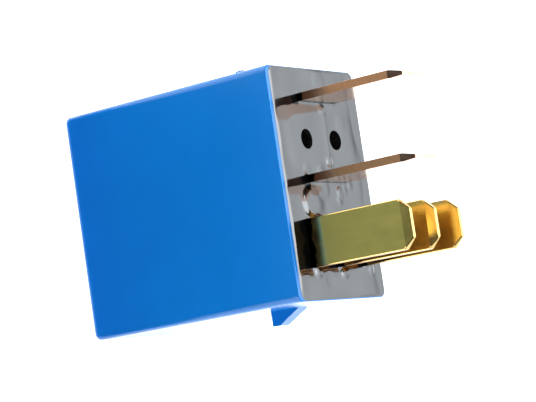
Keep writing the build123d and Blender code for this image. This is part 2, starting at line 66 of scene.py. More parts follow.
CAMERA_PLACE = Vector((23.18, -173.47, 137.07)) * MM
CAMERA_RIGHT = Vector((0.14650, 0.57191, 0.80713))
CAMERA_AHEAD = Vector((-0.10749, 0.82031, -0.56173))
FOCAL_MM, SENSOR_MM = 142.43, 36.0
COOL_WHITE, OLIVE_GREY, SKY_BLUE = (0.89, 0.95, 1.0), (0.88, 1.2, 1.0), (0.08, 0.45, 1.0)
WORLD_GLOW, FLOOR_GLOW = 0.05, 1.35
FLOOR_HALF_M, FLOOR_DROP = 6.0, 0.02


def make_camera():
    """The camera looks down on the front and the terminal side, rolled so that the blades point right."""
    camera = bpy.data.objects.new("camera", bpy.data.cameras.new("camera"))
    camera.data.lens = FOCAL_MM
    camera.data.sensor_width = SENSOR_MM
    camera.data.clip_start, camera.data.clip_end = 0.01, 10
    ahead = CAMERA_AHEAD.normalized()
    right = (CAMERA_RIGHT - ahead * CAMERA_RIGHT.dot(ahead)).normalized()
    up = right.cross(ahead)
    turn = Matrix((right, up, -ahead)).transposed()
    camera.matrix_world = Matrix.Translation(CAMERA_PLACE) @ turn.to_4x4()
    bpy.context.scene.collection.objects.link(camera)
    bpy.context.scene.camera = camera


def softbox(name, place, aim, size, watts):
    """A rectangular white studio light at a place in millimetres, turned to its aim."""
    lamp = bpy.data.lights.new(name, "AREA")
    lamp.shape = "RECTANGLE"
    lamp.size, lamp.size_y = size[0] * MM, size[1] * MM
    lamp.energy = watts
    thing = bpy.data.objects.new(name, lamp)
    place, aim = Vector(place) * MM, Vector(aim) * MM
    turn = (aim - place).to_track_quat("-Z", "Y").to_matrix().to_4x4()
    thing.matrix_world = Matrix.Translation(place) @ turn
    thing.visible_camera = False
    bpy.context.scene.collection.objects.link(thing)


def glowing_card(name, corners, dim, bright, axis, tint=(1, 1, 1)):
    """A flat card, its corners in millimetres, whose glow rises from dim to bright along one axis."""
    mesh = bpy.data.meshes.new(name)
    mesh.from_pydata([Vector(c) * MM for c in corners], [], [(0, 1, 2, 3)])
    card = bpy.data.objects.new(name, mesh)
    card.visible_camera = False
    bpy.context.scene.collection.objects.link(card)
    glow = bpy.data.materials.new(name)
    glow.use_nodes = True
    tree = glow.node_tree
    tree.nodes.clear()
    place = tree.nodes.new("ShaderNodeTexCoord")
    split = tree.nodes.new("ShaderNodeSeparateXYZ")
    level = tree.nodes.new("ShaderNodeMapRange")
    lamp = tree.nodes.new("ShaderNodeEmission")
    out = tree.nodes.new("ShaderNodeOutputMaterial")
    lamp.inputs["Color"].default_value = (*tint, 1)
    heights = [c["XYZ".index(axis)] for c in corners]
    level.inputs["From Min"].default_value = min(heights) * MM
    level.inputs["From Max"].default_value = max(heights) * MM
    level.inputs["To Min"].default_value = dim
    level.inputs["To Max"].default_value = bright
    tree.links.new(place.outputs["Object"], split.inputs["Vector"])
    tree.links.new(split.outputs[axis], level.inputs["Value"])
    tree.links.new(level.outputs["Result"], lamp.inputs["Strength"])
    tree.links.new(lamp.outputs["Emission"], out.inputs["Surface"])
    mesh.materials.append(glow)


def upright(left, right, y, low, high):
    """Corners of a standing card, in millimetres."""
    return [(left, y, low), (right, y, low), (right, y, high), (left, y, high)]


def lying(back, back_y, front, front_y, z=0.3):
    """Corners of a card lying on the floor, from its left and right ends at the back and at the front."""
    return [(front[0], front_y, z), (front[1], front_y, z), (back[1], back_y, z), (back[0], back_y, z)]


def make_world():
    """Plain display of colours, and a nearly dark world: the light comes from the cards and the floor."""
    bpy.context.scene.view_settings.view_transform = "Standard"
    world = bpy.data.worlds.new("studio")
    world.use_nodes = True
    background = world.node_tree.nodes["Background"]
    background.inputs["Color"].default_value = (1, 1, 1, 1)
    background.inputs["Strength"].default_value = WORLD_GLOW
    bpy.context.scene.world = world


def make_lights():
    """A bright sweep behind and overhead, a low horizon, tinted cards before the relay, and softboxes."""
    low_back = [(-330, 440, 110), (240, 440, 110)]
    high_back = [(200, 230, 560), (-290, 230, 560)]
    high_front = [(200, -140, 600), (-290, -140, 600)]
    glowing_card("back_sweep", low_back + high_back, 0.5, 5.5, "Z", COOL_WHITE)
    glowing_card("overhead", high_back[::-1] + high_front, 8.0, 8.0, "Z", COOL_WHITE)
    glowing_card("horizon", upright(-330, 240, 441, 0, 109), 1.2, 1.2, "Z")
    glowing_card("right_horizon", upright(241, 700, 441, 0, 300), 1.2, 1.2, "Z")
    glowing_card("near_card", lying((-19, 26), -7.9, (-19, 26), -44), 0.05, 0.8, "Y", SKY_BLUE)
    glowing_card("far_card", lying((-70, 24), -44, (-160, 120), -500), 0.08, 0.33, "Y", OLIVE_GREY)
    glowing_card("long_card", lying((-160, 120), -501, (-700, 560), -1500), 0.08, 0.08, "Y", OLIVE_GREY)
    aim, size = (0, 0, 12), (240, 160)
    softbox("left_softbox", (-380, -230, 90), aim, size, 1.2)
    softbox("right_softbox", (380, -230, 90), aim, size, 0.7)


def make_floor():
    """A wide sheet of paper just under the relay, with enough glow of its own to stay white."""
    mesh = bpy.data.meshes.new("floor")
    side = FLOOR_HALF_M
    corners = [(-side, -side, 0), (side, -side, 0), (side, side, 0), (-side, side, 0)]
    mesh.from_pydata(corners, [], [(0, 1, 2, 3)])
    floor = bpy.data.objects.new("floor", mesh)
    floor.location.z = -FLOOR_DROP * MM
    bpy.context.scene.collection.objects.link(floor)
    paper = bpy.data.materials.new("white_paper")
    paper.use_nodes = True
    shader = paper.node_tree.nodes["Principled BSDF"]
    shader.inputs["Base Color"].default_value = (0.5, 0.5, 0.5, 1)
    shader.inputs["Roughness"].default_value = 0.9
    shader.inputs["Specular IOR Level"].default_value = 0.0
    shader.inputs["Emission Color"].default_value = (1, 1, 1, 1)
    shader.inputs["Emission Strength"].default_value = FLOOR_GLOW
    mesh.materials.append(paper)


make_camera()
make_world()
make_lights()
make_floor()

# ---------------------------------------------------------------- finishes

EPOXY_BLACK, EPOXY_CLOUD = (0.0018, 0.002, 0.0022), (0.005, 0.005, 0.005)
BRASS, BRASS_CUT = (0.95, 0.67, 0.23), (0.62, 0.40, 0.26)
COPPER, COPPER_CUT = (0.92, 0.58, 0.42), (0.86, 0.39, 0.22)
ENAMEL, ENAMEL_DARK, ENAMEL_LIGHT = (0.70, 0.27, 0.09), (0.58, 0.20, 0.06), (0.78, 0.34, 0.13)
ZINC, ZINC_YELLOW = (0.47, 0.46, 0.43), (0.49, 0.44, 0.33)
LACQUER = (0.42, 0.60, 0.62)

# The resistor's painted rings: middle along Y, half width, paint
RINGS = [
    (-2.05, 0.22, (0.02, 0.06, 0.30)),
    (-1.05, 0.2, (0.16, 0.16, 0.17)),
    (-0.3, 0.2, (0.10, 0.035, 0.015)),
    (1.6, 0.22, (0.45, 0.28, 0.06)),
]

# Epoxy creep up the blades, painted black as the shade at each blade root: how far it reaches up the blades,
# how soft and how ragged that edge is, and how soft it is below
CREEP_SHADE_TOP, CREEP_SHADE_SOFT, CREEP_SHADE_RAGGED, CREEP_SHADE_FOOT = 26.15, 0.15, 0.25, 0.1


def fresh_finish(name, colour, metallic=0.0, rough=0.5):
    """A material, its node tree and its Principled shader, with the plain values set on the shader."""
    made = bpy.data.materials.new(name)
    made.use_nodes = True
    shader = made.node_tree.nodes["Principled BSDF"]
    shader.inputs["Base Color"].default_value = (*colour, 1)
    shader.inputs["Metallic"].default_value = metallic
    shader.inputs["Roughness"].default_value = rough
    return made, made.node_tree, shader


def speckle(tree, size, stretch=(1, 1, 1), detail=2.0):
    """Noise in Object coordinates: spots of a size in millimetres, drawn out by stretch along X, Y and Z."""
    place = tree.nodes.new("ShaderNodeTexCoord")
    drawn = tree.nodes.new("ShaderNodeMapping")
    noise = tree.nodes.new("ShaderNodeTexNoise")
    drawn.inputs["Scale"].default_value = [1 / s for s in stretch]
    noise.inputs["Scale"].default_value = 1 / (size * MM)
    noise.inputs["Detail"].default_value = detail
    tree.links.new(place.outputs["Object"], drawn.inputs["Vector"])
    tree.links.new(drawn.outputs["Vector"], noise.inputs["Vector"])
    return noise.outputs["Fac"]


def ranged(tree, value, low, high, start=0.3, end=0.7):
    """The value's stretch from start to end, laid out between low and high."""
    scale = tree.nodes.new("ShaderNodeMapRange")
    scale.inputs["From Min"].default_value = start
    scale.inputs["From Max"].default_value = end
    scale.inputs["To Min"].default_value = low
    scale.inputs["To Max"].default_value = high
    tree.links.new(value, scale.inputs["Value"])
    return scale.outputs["Result"]


def blended(tree, factor, first, second):
    """A colour between two, each a colour or another colour's socket."""
    mix = tree.nodes.new("ShaderNodeMix")
    mix.data_type = "RGBA"
    tree.links.new(factor, mix.inputs["Factor"])
    for slot, colour in ((mix.inputs[6], first), (mix.inputs[7], second)):
        if isinstance(colour, tuple):
            slot.default_value = (*colour, 1)
        else:
            tree.links.new(colour, slot)
    return mix.outputs[2]


def relief(tree, shader, height, depth):
    """Bump of a depth in millimetres from a height socket, over any bump already there."""
    bump = tree.nodes.new("ShaderNodeBump")
    bump.inputs["Strength"].default_value = 1.0
    bump.inputs["Distance"].default_value = depth * MM
    tree.links.new(height, bump.inputs["Height"])
    if shader.inputs["Normal"].is_linked:
        tree.links.new(shader.inputs["Normal"].links[0].from_socket, bump.inputs["Normal"])
    tree.links.new(bump.outputs["Normal"], shader.inputs["Normal"])


def toned(colour, share):
    """A colour made darker or lighter by a share of itself."""
    return tuple(min(1.0, c * (1 + share)) for c in colour)


def moulded_plastic(name, colour, rough, texture, flow=0.05):
    """Moulded plastic: faint flow clouds, a fine spark-eroded skin and a few drawn-out scuffs."""
    made, tree, shader = fresh_finish(name, colour, rough=rough)
    clouds = ranged(tree, speckle(tree, 4.5, detail=3), 0, 1)
    tone = blended(tree, clouds, toned(colour, -flow), toned(colour, flow))
    tree.links.new(tone, shader.inputs["Base Color"])
    scuffs = ranged(tree, speckle(tree, 0.22, (1.2, 0.8, 16)), rough, rough + 0.05, 0.66, 0.76)
    tree.links.new(scuffs, shader.inputs["Roughness"])
    relief(tree, shader, speckle(tree, 0.16, detail=1), texture)
    relief(tree, shader, speckle(tree, 3.0, detail=0), 0.02)
    return made


def cut_share(tree, across):
    """How far a surface faces along the strip's own width: 1 on a sheared edge, 0 on a rolled face."""
    place = tree.nodes.new("ShaderNodeTexCoord")
    split = tree.nodes.new("ShaderNodeSeparateXYZ")
    size = tree.nodes.new("ShaderNodeMath")
    size.operation = "ABSOLUTE"
    tree.links.new(place.outputs["Normal"], split.inputs["Vector"])
    tree.links.new(split.outputs[across], size.inputs[0])
    return ranged(tree, size.outputs["Value"], 0, 1, start=0.75, end=0.95)


def epoxy_creep_and_root_shade(tree):
    """0 where a blade stands in the epoxy or is covered by its creep, painted black as the shade at the root;
    1 on the bare metal above and below.
    """
    place = tree.nodes.new("ShaderNodeTexCoord")
    split = tree.nodes.new("ShaderNodeSeparateXYZ")
    tree.links.new(place.outputs["Object"], split.inputs["Vector"])
    ragged = tree.nodes.new("ShaderNodeMath")
    tree.links.new(split.outputs["Z"], ragged.inputs[0])
    wander = ranged(tree, speckle(tree, 1.1, detail=1), -CREEP_SHADE_RAGGED * MM, CREEP_SHADE_RAGGED * MM)
    tree.links.new(wander, ragged.inputs[1])
    bare_from = (CREEP_SHADE_TOP + CREEP_SHADE_SOFT) * MM
    over = ranged(tree, ragged.outputs["Value"], 0, 1, CREEP_SHADE_TOP * MM, bare_from)
    bare_to = (BASE_TOP - CREEP_SHADE_FOOT) * MM
    under = ranged(tree, split.outputs["Z"], 1, 0, bare_to, BASE_TOP * MM)
    either = tree.nodes.new("ShaderNodeMath")
    either.operation = "MAXIMUM"
    tree.links.new(over, either.inputs[0])
    tree.links.new(under, either.inputs[1])
    return either.outputs["Value"]


def stamped_metal(name, face, raw, rough, raw_rough, across):
    """Rolled strip, sheared to shape: grain along the blade on its faces, torn and duller cut edges."""
    made, tree, shader = fresh_finish(name, face, 1.0, rough)
    rolled = speckle(tree, 0.06, (1, 1, 60), detail=2)
    handled = speckle(tree, 1.1, (1, 1, 1.8), detail=4)
    specks = speckle(tree, 0.12, detail=1)
    tone = blended(tree, ranged(tree, handled, 0, 1), toned(face, -0.09), toned(face, 0.05))
    tone = blended(tree, ranged(tree, specks, 0, 0.5, 0.74, 0.78), tone, toned(face, -0.6))
    tears = ranged(tree, speckle(tree, 0.1, (1, 1, 0.5), detail=3), 0, 1)
    torn = blended(tree, tears, toned(raw, -0.2), toned(raw, 0.15))
    cut = cut_share(tree, across)
    gloss = tree.nodes.new("ShaderNodeMix")
    gloss.inputs[3].default_value = raw_rough
    tree.links.new(cut, gloss.inputs[0])
    tree.links.new(ranged(tree, handled, rough - 0.02, rough + 0.05), gloss.inputs[2])
    metal = blended(tree, cut, tone, torn)
    # Painted shade: the blade roots take the epoxy's black up to the creep line on the metal shader, so they
    # show black where the roots meet the pour
    creep_and_shade_colour = blended(tree, epoxy_creep_and_root_shade(tree), EPOXY_BLACK, metal)
    tree.links.new(creep_and_shade_colour, shader.inputs["Base Color"])
    tree.links.new(gloss.outputs[0], shader.inputs["Roughness"])
    relief(tree, shader, rolled, 0.0006)
    return made


def cast_epoxy(name):
    """Black two-part epoxy, poured and cured glossy, with faint clouds and an uneven skin."""
    made, tree, shader = fresh_finish(name, EPOXY_BLACK, rough=0.1)
    shader.inputs["Coat Weight"].default_value = 1.0
    shader.inputs["Coat Roughness"].default_value = 0.03
    clouds = ranged(tree, speckle(tree, 2.2, detail=4), 0, 1)
    tree.links.new(blended(tree, clouds, EPOXY_BLACK, EPOXY_CLOUD), shader.inputs["Base Color"])
    tree.links.new(ranged(tree, speckle(tree, 1.4, detail=3), 0.06, 0.2), shader.inputs["Roughness"])
    relief(tree, shader, speckle(tree, 1.3, detail=2), 0.012)
    return made


def plated_iron(name):
    """Soft iron, stamped and zinc plated: a fine crystalline plate with a thin yellowish passivation."""
    made, tree, shader = fresh_finish(name, ZINC, 1.0, 0.32)
    film = ranged(tree, speckle(tree, 2.6, detail=4), 0, 1)
    tree.links.new(blended(tree, film, ZINC, ZINC_YELLOW), shader.inputs["Base Color"])
    tree.links.new(ranged(tree, speckle(tree, 0.3, detail=3), 0.26, 0.4), shader.inputs["Roughness"])
    relief(tree, shader, speckle(tree, 0.08, detail=2), 0.002)
    return made


def brushed_spring(name, colour):
    """Spring strip: bright bronze with rolling lines along its length."""
    made, tree, shader = fresh_finish(name, colour, 1.0, 0.24)
    lines = speckle(tree, 0.05, (30, 1, 30), detail=2)
    clouds = ranged(tree, speckle(tree, 1.5, detail=3), 0, 1)
    tone = blended(tree, clouds, toned(colour, -0.12), toned(colour, 0.06))
    tree.links.new(tone, shader.inputs["Base Color"])
    tree.links.new(ranged(tree, lines, 0.18, 0.34), shader.inputs["Roughness"])
    relief(tree, shader, lines, 0.0008)
    return made


def enamelled_wire(name):
    """Copper magnet wire under clear amber enamel, a little lighter and darker from turn to turn."""
    made, tree, shader = fresh_finish(name, ENAMEL, 1.0, 0.26)
    shader.inputs["Coat Weight"].default_value = 0.6
    shader.inputs["Coat Roughness"].default_value = 0.12
    turns = ranged(tree, speckle(tree, 0.35, (9, 9, 1), detail=2), 0, 1)
    tree.links.new(blended(tree, turns, ENAMEL_DARK, ENAMEL_LIGHT), shader.inputs["Base Color"])
    tree.links.new(ranged(tree, speckle(tree, 0.5, detail=2), 0.2, 0.36), shader.inputs["Roughness"])
    return made


def turned_metal(name, colour, rough, ring, depth):
    """Small headed or drawn parts: close forming marks, and a faint bloom of oxide."""
    made, tree, shader = fresh_finish(name, colour, 1.0, rough)
    bloom = ranged(tree, speckle(tree, 0.7, detail=4), 0, 1)
    tone = blended(tree, bloom, toned(colour, -0.22), toned(colour, 0.04))
    tree.links.new(tone, shader.inputs["Base Color"])
    marks = speckle(tree, ring, detail=3)
    tree.links.new(ranged(tree, marks, rough - 0.06, rough + 0.1), shader.inputs["Roughness"])
    relief(tree, shader, marks, depth)
    return made


def lacquered_resistor(name):
    """Dipped lacquer with painted rings round the body, which lies along Y."""
    made, tree, shader = fresh_finish(name, LACQUER, rough=0.28)
    shader.inputs["Coat Weight"].default_value = 0.5
    place = tree.nodes.new("ShaderNodeTexCoord")
    split = tree.nodes.new("ShaderNodeSeparateXYZ")
    tree.links.new(place.outputs["Object"], split.inputs["Vector"])
    wander = ranged(tree, speckle(tree, 0.5), -0.05 * MM, 0.05 * MM)
    along = tree.nodes.new("ShaderNodeMath")
    tree.links.new(split.outputs["Y"], along.inputs[0])
    tree.links.new(wander, along.inputs[1])
    clouds = ranged(tree, speckle(tree, 0.8, detail=3), 0, 1)
    tone = blended(tree, clouds, toned(LACQUER, -0.1), toned(LACQUER, 0.06))
    for middle, half, paint in RINGS:
        inside = tree.nodes.new("ShaderNodeMath")
        inside.operation = "COMPARE"
        inside.inputs[1].default_value = middle * MM
        inside.inputs[2].default_value = half * MM
        tree.links.new(along.outputs["Value"], inside.inputs[0])
        tone = blended(tree, inside.outputs["Value"], tone, paint)
    tree.links.new(tone, shader.inputs["Base Color"])
    tree.links.new(ranged(tree, speckle(tree, 0.4), 0.22, 0.36), shader.inputs["Roughness"])
    relief(tree, shader, speckle(tree, 0.6, detail=2), 0.01)
    return made


cover_blue = moulded_plastic("cover_blue", (0.004, 0.185, 0.60), 0.2, 0.0012, flow=0.03)
base_black = moulded_plastic("base_black", (0.018, 0.018, 0.019), 0.38, 0.004, flow=0.2)
bobbin_ivory = moulded_plastic("bobbin_ivory", (0.70, 0.63, 0.47), 0.42, 0.004)
epoxy = cast_epoxy("sealing_epoxy")
blade_brass = stamped_metal("blade_brass", BRASS, BRASS_CUT, 0.17, 0.36, "X")
strip_brass = stamped_metal("strip_brass", BRASS, BRASS_CUT, 0.16, 0.36, "Y")
blade_copper = stamped_metal("blade_copper", COPPER, COPPER_CUT, 0.18, 0.3, "Y")
iron = plated_iron("plated_iron")
bronze = brushed_spring("spring_bronze", (0.80, 0.50, 0.27))
magnet_wire = enamelled_wire("magnet_wire")
silver = turned_metal("contact_silver", (0.88, 0.86, 0.82), 0.24, 0.09, 0.002)
rivet_steel = turned_metal("rivet_steel", (0.66, 0.65, 0.62), 0.3, 0.12, 0.003)
tinned = turned_metal("tinned_wire", (0.76, 0.75, 0.72), 0.28, 0.15, 0.003)
lacquer = lacquered_resistor("resistor_lacquer")

LOOKS = {
    "cover": cover_blue,
    "base_plate": base_black,
    "sealing_compound": epoxy,
    "terminal_30_common": blade_copper,
    "terminal_87_normally_open": blade_copper,
    "terminal_87a_normally_closed": blade_brass,
    "terminal_85_coil": blade_brass,
    "terminal_86_coil": blade_brass,
    "normally_closed_carrier": strip_brass,
    "yoke": iron,
    "iron_core": iron,
    "armature": iron,
    "bobbin": bobbin_ivory,
    "coil_winding": magnet_wire,
    "coil_ends": magnet_wire,
    "suppression_resistor": lacquer,
    "resistor_leads": tinned,
    "normally_open_contact": silver,
    "normally_closed_contact": silver,
    "moving_contact": silver,
    "hinge_spring": bronze,
    "contact_spring": bronze,
    "terminal_rivets": rivet_steel,
    "spring_rivets": rivet_steel,
    "armature_rivets": rivet_steel,
}
for name, node in NODES.items():
    node.data.materials.clear()
    node.data.materials.append(LOOKS[name])

# Width by which each stamped or moulded CAD node has its sharp edges broken
ARRISES = {
    "terminal_30_common": 0.14,
    "terminal_87_normally_open": 0.14,
    "terminal_87a_normally_closed": 0.09,
    "terminal_85_coil": 0.09,
    "terminal_86_coil": 0.09,
    "normally_closed_carrier": 0.08,
    "yoke": 0.1,
    "armature": 0.1,
    "bobbin": 0.07,
}


def soften(node, width):
    """Breaks a CAD node's sharp edges by a width in millimetres."""
    merge = node.modifiers.new("merge", "WELD")
    merge.merge_threshold = 0.001 * MM
    arris = node.modifiers.new("arris", "BEVEL")
    arris.width = width * MM
    arris.segments = 2
    arris.limit_method = "ANGLE"
    arris.angle_limit = math.radians(40)
    arris.use_clamp_overlap = True


for name, width in ARRISES.items():
    soften(NODES[name], width)

# ---------------------------------------------------------------- helpers for the finer pieces


def swung(x, z):
    """Where a point of the armature's own section stands in X and Z while the coil is off."""
    turn_x = HINGE_X + x * math.cos(OPEN_ANGLE) + z * math.sin(OPEN_ANGLE)
    return turn_x, HINGE_Z - x * math.sin(OPEN_ANGLE) + z * math.cos(OPEN_ANGLE)


def finished_mesh(name, work):
    """The plain mesh of a bmesh, its faces turned outward; the bmesh is used up."""
    bmesh.ops.recalc_face_normals(work, faces=work.faces)
    mesh = bpy.data.meshes.new(name)
    work.to_mesh(mesh)
    work.free()
    return mesh


def shade_smooth(mesh, sharp_angle):
    """Smooth shading, except across edges sharper than an angle in degrees."""
    mesh.polygons.foreach_set("use_smooth", [True] * len(mesh.polygons))
    mesh.set_sharp_from_angle(angle=math.radians(sharp_angle))


def new_piece(name, mesh, finish):
    """An object at the origin for a finished mesh, with its material."""
    mesh.name = name
    mesh.materials.clear()
    mesh.materials.append(finish)
    piece = bpy.data.objects.new(name, mesh)
    bpy.context.scene.collection.objects.link(piece)
    return piece


def settle(piece, body, slot, *replaced):
    """Puts a piece on its body and in place of its CAD nodes."""
    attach(piece, body)
    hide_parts(*replaced)


# ---------------------------------------------------------------- sealing compound

# Blade roots and outlines seen from above: middle in X and Y, half size along X and Y, corner radius
BLADES = [(blade_x, 0, HALF_THICK, HALF_WIDE) for blade_x in (COMMON_X, OPEN_X)]
BLADES += [(ROW_X, blade_y, HALF_NARROW, HALF_THICK) for blade_y in (-COIL_Y, 0, COIL_Y)]
POUR = (0, 0.19, 11.42, 7.44, 0.8)
ISLAND = (-4.5, 0, 2.95, 5.75, 2.0)
VENTS = [(-4.32, -2.55), (-4.32, 2.55)]
VENT_R = 1.0

# The cast surface: its level, its slopes towards the long sides, and what stands up from it
GRID_STEP = 0.115
LEVEL_Z, SKIRT_Z, SKIRT_WIDTH = 25.53, RIM_Z + 0.015, 0.28
NEAR_TO, NEAR_SOFT, NEAR_SLOPE = -5.8, 0.15, 0.04
FAR_FROM, FAR_SOFT, FAR_SLOPE = 5.7, 0.12, 0.1
ISLAND_RISE, ISLAND_SOFT, ISLAND_EDGE = 0.08, 1.6, 0.6
RIDGE_Y, RIDGE_RISE, RIDGE_SOFT = 1.05, 0.06, 0.5
MENISCUS_RISE, MENISCUS_REACH = 0.09, 0.15
MENISCUS_END, MENISCUS_FADE = 0.3, 0.2

# The casting's sides: half size below the rim, then each step down with how far it may stand out past that
THROAT_X, THROAT_Y = 10.65, 6.85
SIDE_STEPS = [(RIM_Z + 0.01, math.inf), (RIM_Z + 0.005, 0.35), (RIM_Z - 0.6, 0.0), (BASE_TOP, 0.0)]

# Lumps in the cast surface: place, radius, height, and the width of the slope before and behind
LUMPS = [
    (2.0, -3.1, 1.5, 0.24, 0.75, 1.8),
    (0.2, 3.9, 0.4, 0.1, 0.5, 0.9),
    (0.6, 2.9, 0.35, 0.08, 0.45, 0.8),
    (0.9, 1.9, 0.45, 0.12, 0.5, 0.8),
    (1.7, 1.7, 0.4, 0.1, 0.5, 0.8),
    (0.6, -0.9, 0.9, 0.1, 0.9, 0.9),
    (-1.3, -3.2, 0.5, 0.07, 0.5, 0.8),
    (-1.2, -0.9, 0.5, 0.08, 0.5, 0.8),
    (-2.1, RIDGE_Y - 0.2, 0.5, 0.13, 0.5, 0.7),
    (-7.4, RIDGE_Y - 0.2, 0.45, 0.12, 0.6, 0.7),
    (-10.2, 1.0, 0.9, 0.06, 0.8, 1.0),
    (-6.1, 3.9, 0.7, 0.05, 0.7, 0.9),
    (8.7, -3.9, 0.5, 0.15, 0.6, 0.8),
    (8.9, 0.7, 0.5, 0.15, 0.6, 0.8),
    (8.6, 5.6, 0.45, 0.13, 0.6, 0.8),
    (9.6, -1.9, 0.5, -0.05, 0.9, 0.9),
]

# Long swells in the cast surface: waves along X and Y, their start, and height
SWELLS = [
    (0.55, 0.35, 0.4, 0.03),
    (-0.4, 0.8, 1.9, 0.025),
    (1.3, -0.7, 3.1, 0.012),
    (0.9, 1.6, 5.0, 0.008),
]


def past_box(x, y, mid_x, mid_y, half_x, half_y, corner=0.0):
    """Signed distance outside a rounded rectangle, in millimetres."""
    out_x = np.abs(x - mid_x) - half_x + corner
    out_y = np.abs(y - mid_y) - half_y + corner
    outside = np.hypot(np.maximum(out_x, 0), np.maximum(out_y, 0))
    return outside + np.minimum(np.maximum(out_x, out_y), 0) - corner


def ease(t):
    """Smooth step from 0 to 1."""
    t = np.clip(t, 0, 1)
    return t * t * (3 - 2 * t)


def softly_past(distance, softness):
    """The distance past a line, and 0 before it, with the bend between the two softened."""
    return softness * np.log1p(np.exp(distance / softness))


def pour_height(x, y):
    """Height of the cast surface: a nearly level pour over the island, with low menisci, lumps and swells."""
    z = LEVEL_Z + NEAR_SLOPE * softly_past(NEAR_TO - y, NEAR_SOFT)
    island = past_box(x, y, *ISLAND)
    z += ISLAND_RISE * ease(0.5 - island / ISLAND_SOFT)
    z += RIDGE_RISE * ease(-island / ISLAND_EDGE) * np.exp(-np.abs(y - RIDGE_Y) / RIDGE_SOFT)
    for mid_x, mid_y, half_x, half_y in BLADES:
        away = np.maximum(past_box(x, y, mid_x, mid_y, half_x, half_y), 0)
        before = ease((mid_y - half_y - y + MENISCUS_END) / MENISCUS_FADE)
        z += MENISCUS_RISE * (1 - before) * np.exp(-away / MENISCUS_REACH)
    for lump_x, lump_y, radius, height, near, far in LUMPS:
        edge = np.where(y < lump_y, near, far)
        z += height * ease((radius - np.hypot(x - lump_x, y - lump_y)) / edge + 0.5)
    for wave_x, wave_y, start, height in SWELLS:
        z += height * np.sin(wave_x * x + wave_y * y + start)
    z -= FAR_SLOPE * softly_past(y - FAR_FROM, FAR_SOFT)
    inside = -past_box(x, y, *POUR)
    return SKIRT_Z + np.maximum(z - SKIRT_Z, 0) * ease(inside / SKIRT_WIDTH)


def snap_to_circle(grid_x, grid_y, chosen, mid_x, mid_y, radius):
    """Moves the chosen points of a grid straight out or in on to a circle."""
    from_x, from_y = grid_x[chosen] - mid_x, grid_y[chosen] - mid_y
    away = np.hypot(from_x, from_y)
    grid_x[chosen] = mid_x + from_x * radius / away
    grid_y[chosen] = mid_y + from_y * radius / away


def pour_grid():
    """The cast surface seen from above: grid points, kept cells, and how many of those meet at each point."""
    mid_x, mid_y, half_x, half_y, corner = POUR
    xs = np.linspace(mid_x - half_x, mid_x + half_x, round(2 * half_x / GRID_STEP) + 1)
    ys = np.linspace(mid_y - half_y, mid_y + half_y, round(2 * half_y / GRID_STEP) + 1)
    grid_x, grid_y = np.meshgrid(xs, ys, indexing="ij")
    cell_x, cell_y = np.meshgrid((xs[:-1] + xs[1:]) / 2, (ys[:-1] + ys[1:]) / 2, indexing="ij")
    kept = past_box(cell_x, cell_y, *POUR) < 0
    for vent_x, vent_y in VENTS:
        kept &= np.hypot(cell_x - vent_x, cell_y - vent_y) > VENT_R
    shifts = [((di, 1 - di), (dj, 1 - dj)) for di in (0, 1) for dj in (0, 1)]
    count = sum(np.pad(kept.astype(int), shift) for shift in shifts)
    border = (count > 0) & (count < 4)
    for vent_x, vent_y in VENTS:
        near = border & (np.hypot(grid_x - vent_x, grid_y - vent_y) < VENT_R + 2 * GRID_STEP)
        snap_to_circle(grid_x, grid_y, near, vent_x, vent_y, VENT_R)
    for side_x in (-1, 1):
        for side_y in (-1, 1):
            turn_x = mid_x + side_x * (half_x - corner)
            turn_y = mid_y + side_y * (half_y - corner)
            near = border & ((grid_x - turn_x) * side_x > 0) & ((grid_y - turn_y) * side_y > 0)
            snap_to_circle(grid_x, grid_y, near, turn_x, turn_y, corner)
    return grid_x, grid_y, kept, count


def sides_and_bores(work):
    """Carries the open edges down the sides and vent bores and floors the bores; the underside stays open."""
    loops = [e for e in work.edges if e.is_boundary]
    for height, stand_out in SIDE_STEPS:
        reach_x, reach_y = THROAT_X + stand_out, THROAT_Y + stand_out
        grown = bmesh.ops.extrude_edge_only(work, edges=loops)["geom"]
        loops = [g for g in grown if isinstance(g, bmesh.types.BMEdge)]
        for point in {v for e in loops for v in e.verts}:
            point.co.x = max(-reach_x, min(reach_x, point.co.x / MM)) * MM
            point.co.y = max(-reach_y, min(reach_y, point.co.y / MM)) * MM
            point.co.z = height * MM
    bmesh.ops.triangle_fill(work, use_beauty=True, edges=loops)


def make_compound():
    """The cast compound as one shell: its poured top, sides and vent bores, without an underside."""
    grid_x, grid_y, kept, count = pour_grid()
    height = pour_height(grid_x, grid_y)
    work = bmesh.new()
    points = {}
    for i, j in zip(*np.nonzero(count)):
        points[i, j] = work.verts.new(Vector((grid_x[i, j], grid_y[i, j], height[i, j])) * MM)
    for i, j in zip(*np.nonzero(kept)):
        work.faces.new((points[i, j], points[i + 1, j], points[i + 1, j + 1], points[i, j + 1]))
    top_faces = len(work.faces)
    sides_and_bores(work)
    mesh = finished_mesh("poured_compound", work)
    mesh.polygons.foreach_set("use_smooth", [i < top_faces for i in range(len(mesh.polygons))])
    mesh.set_sharp_from_angle(angle=math.radians(50))
    settle(new_piece("poured_compound", mesh, epoxy), "base_unit", "compound", "sealing_compound")


# ---------------------------------------------------------------- geometry trees


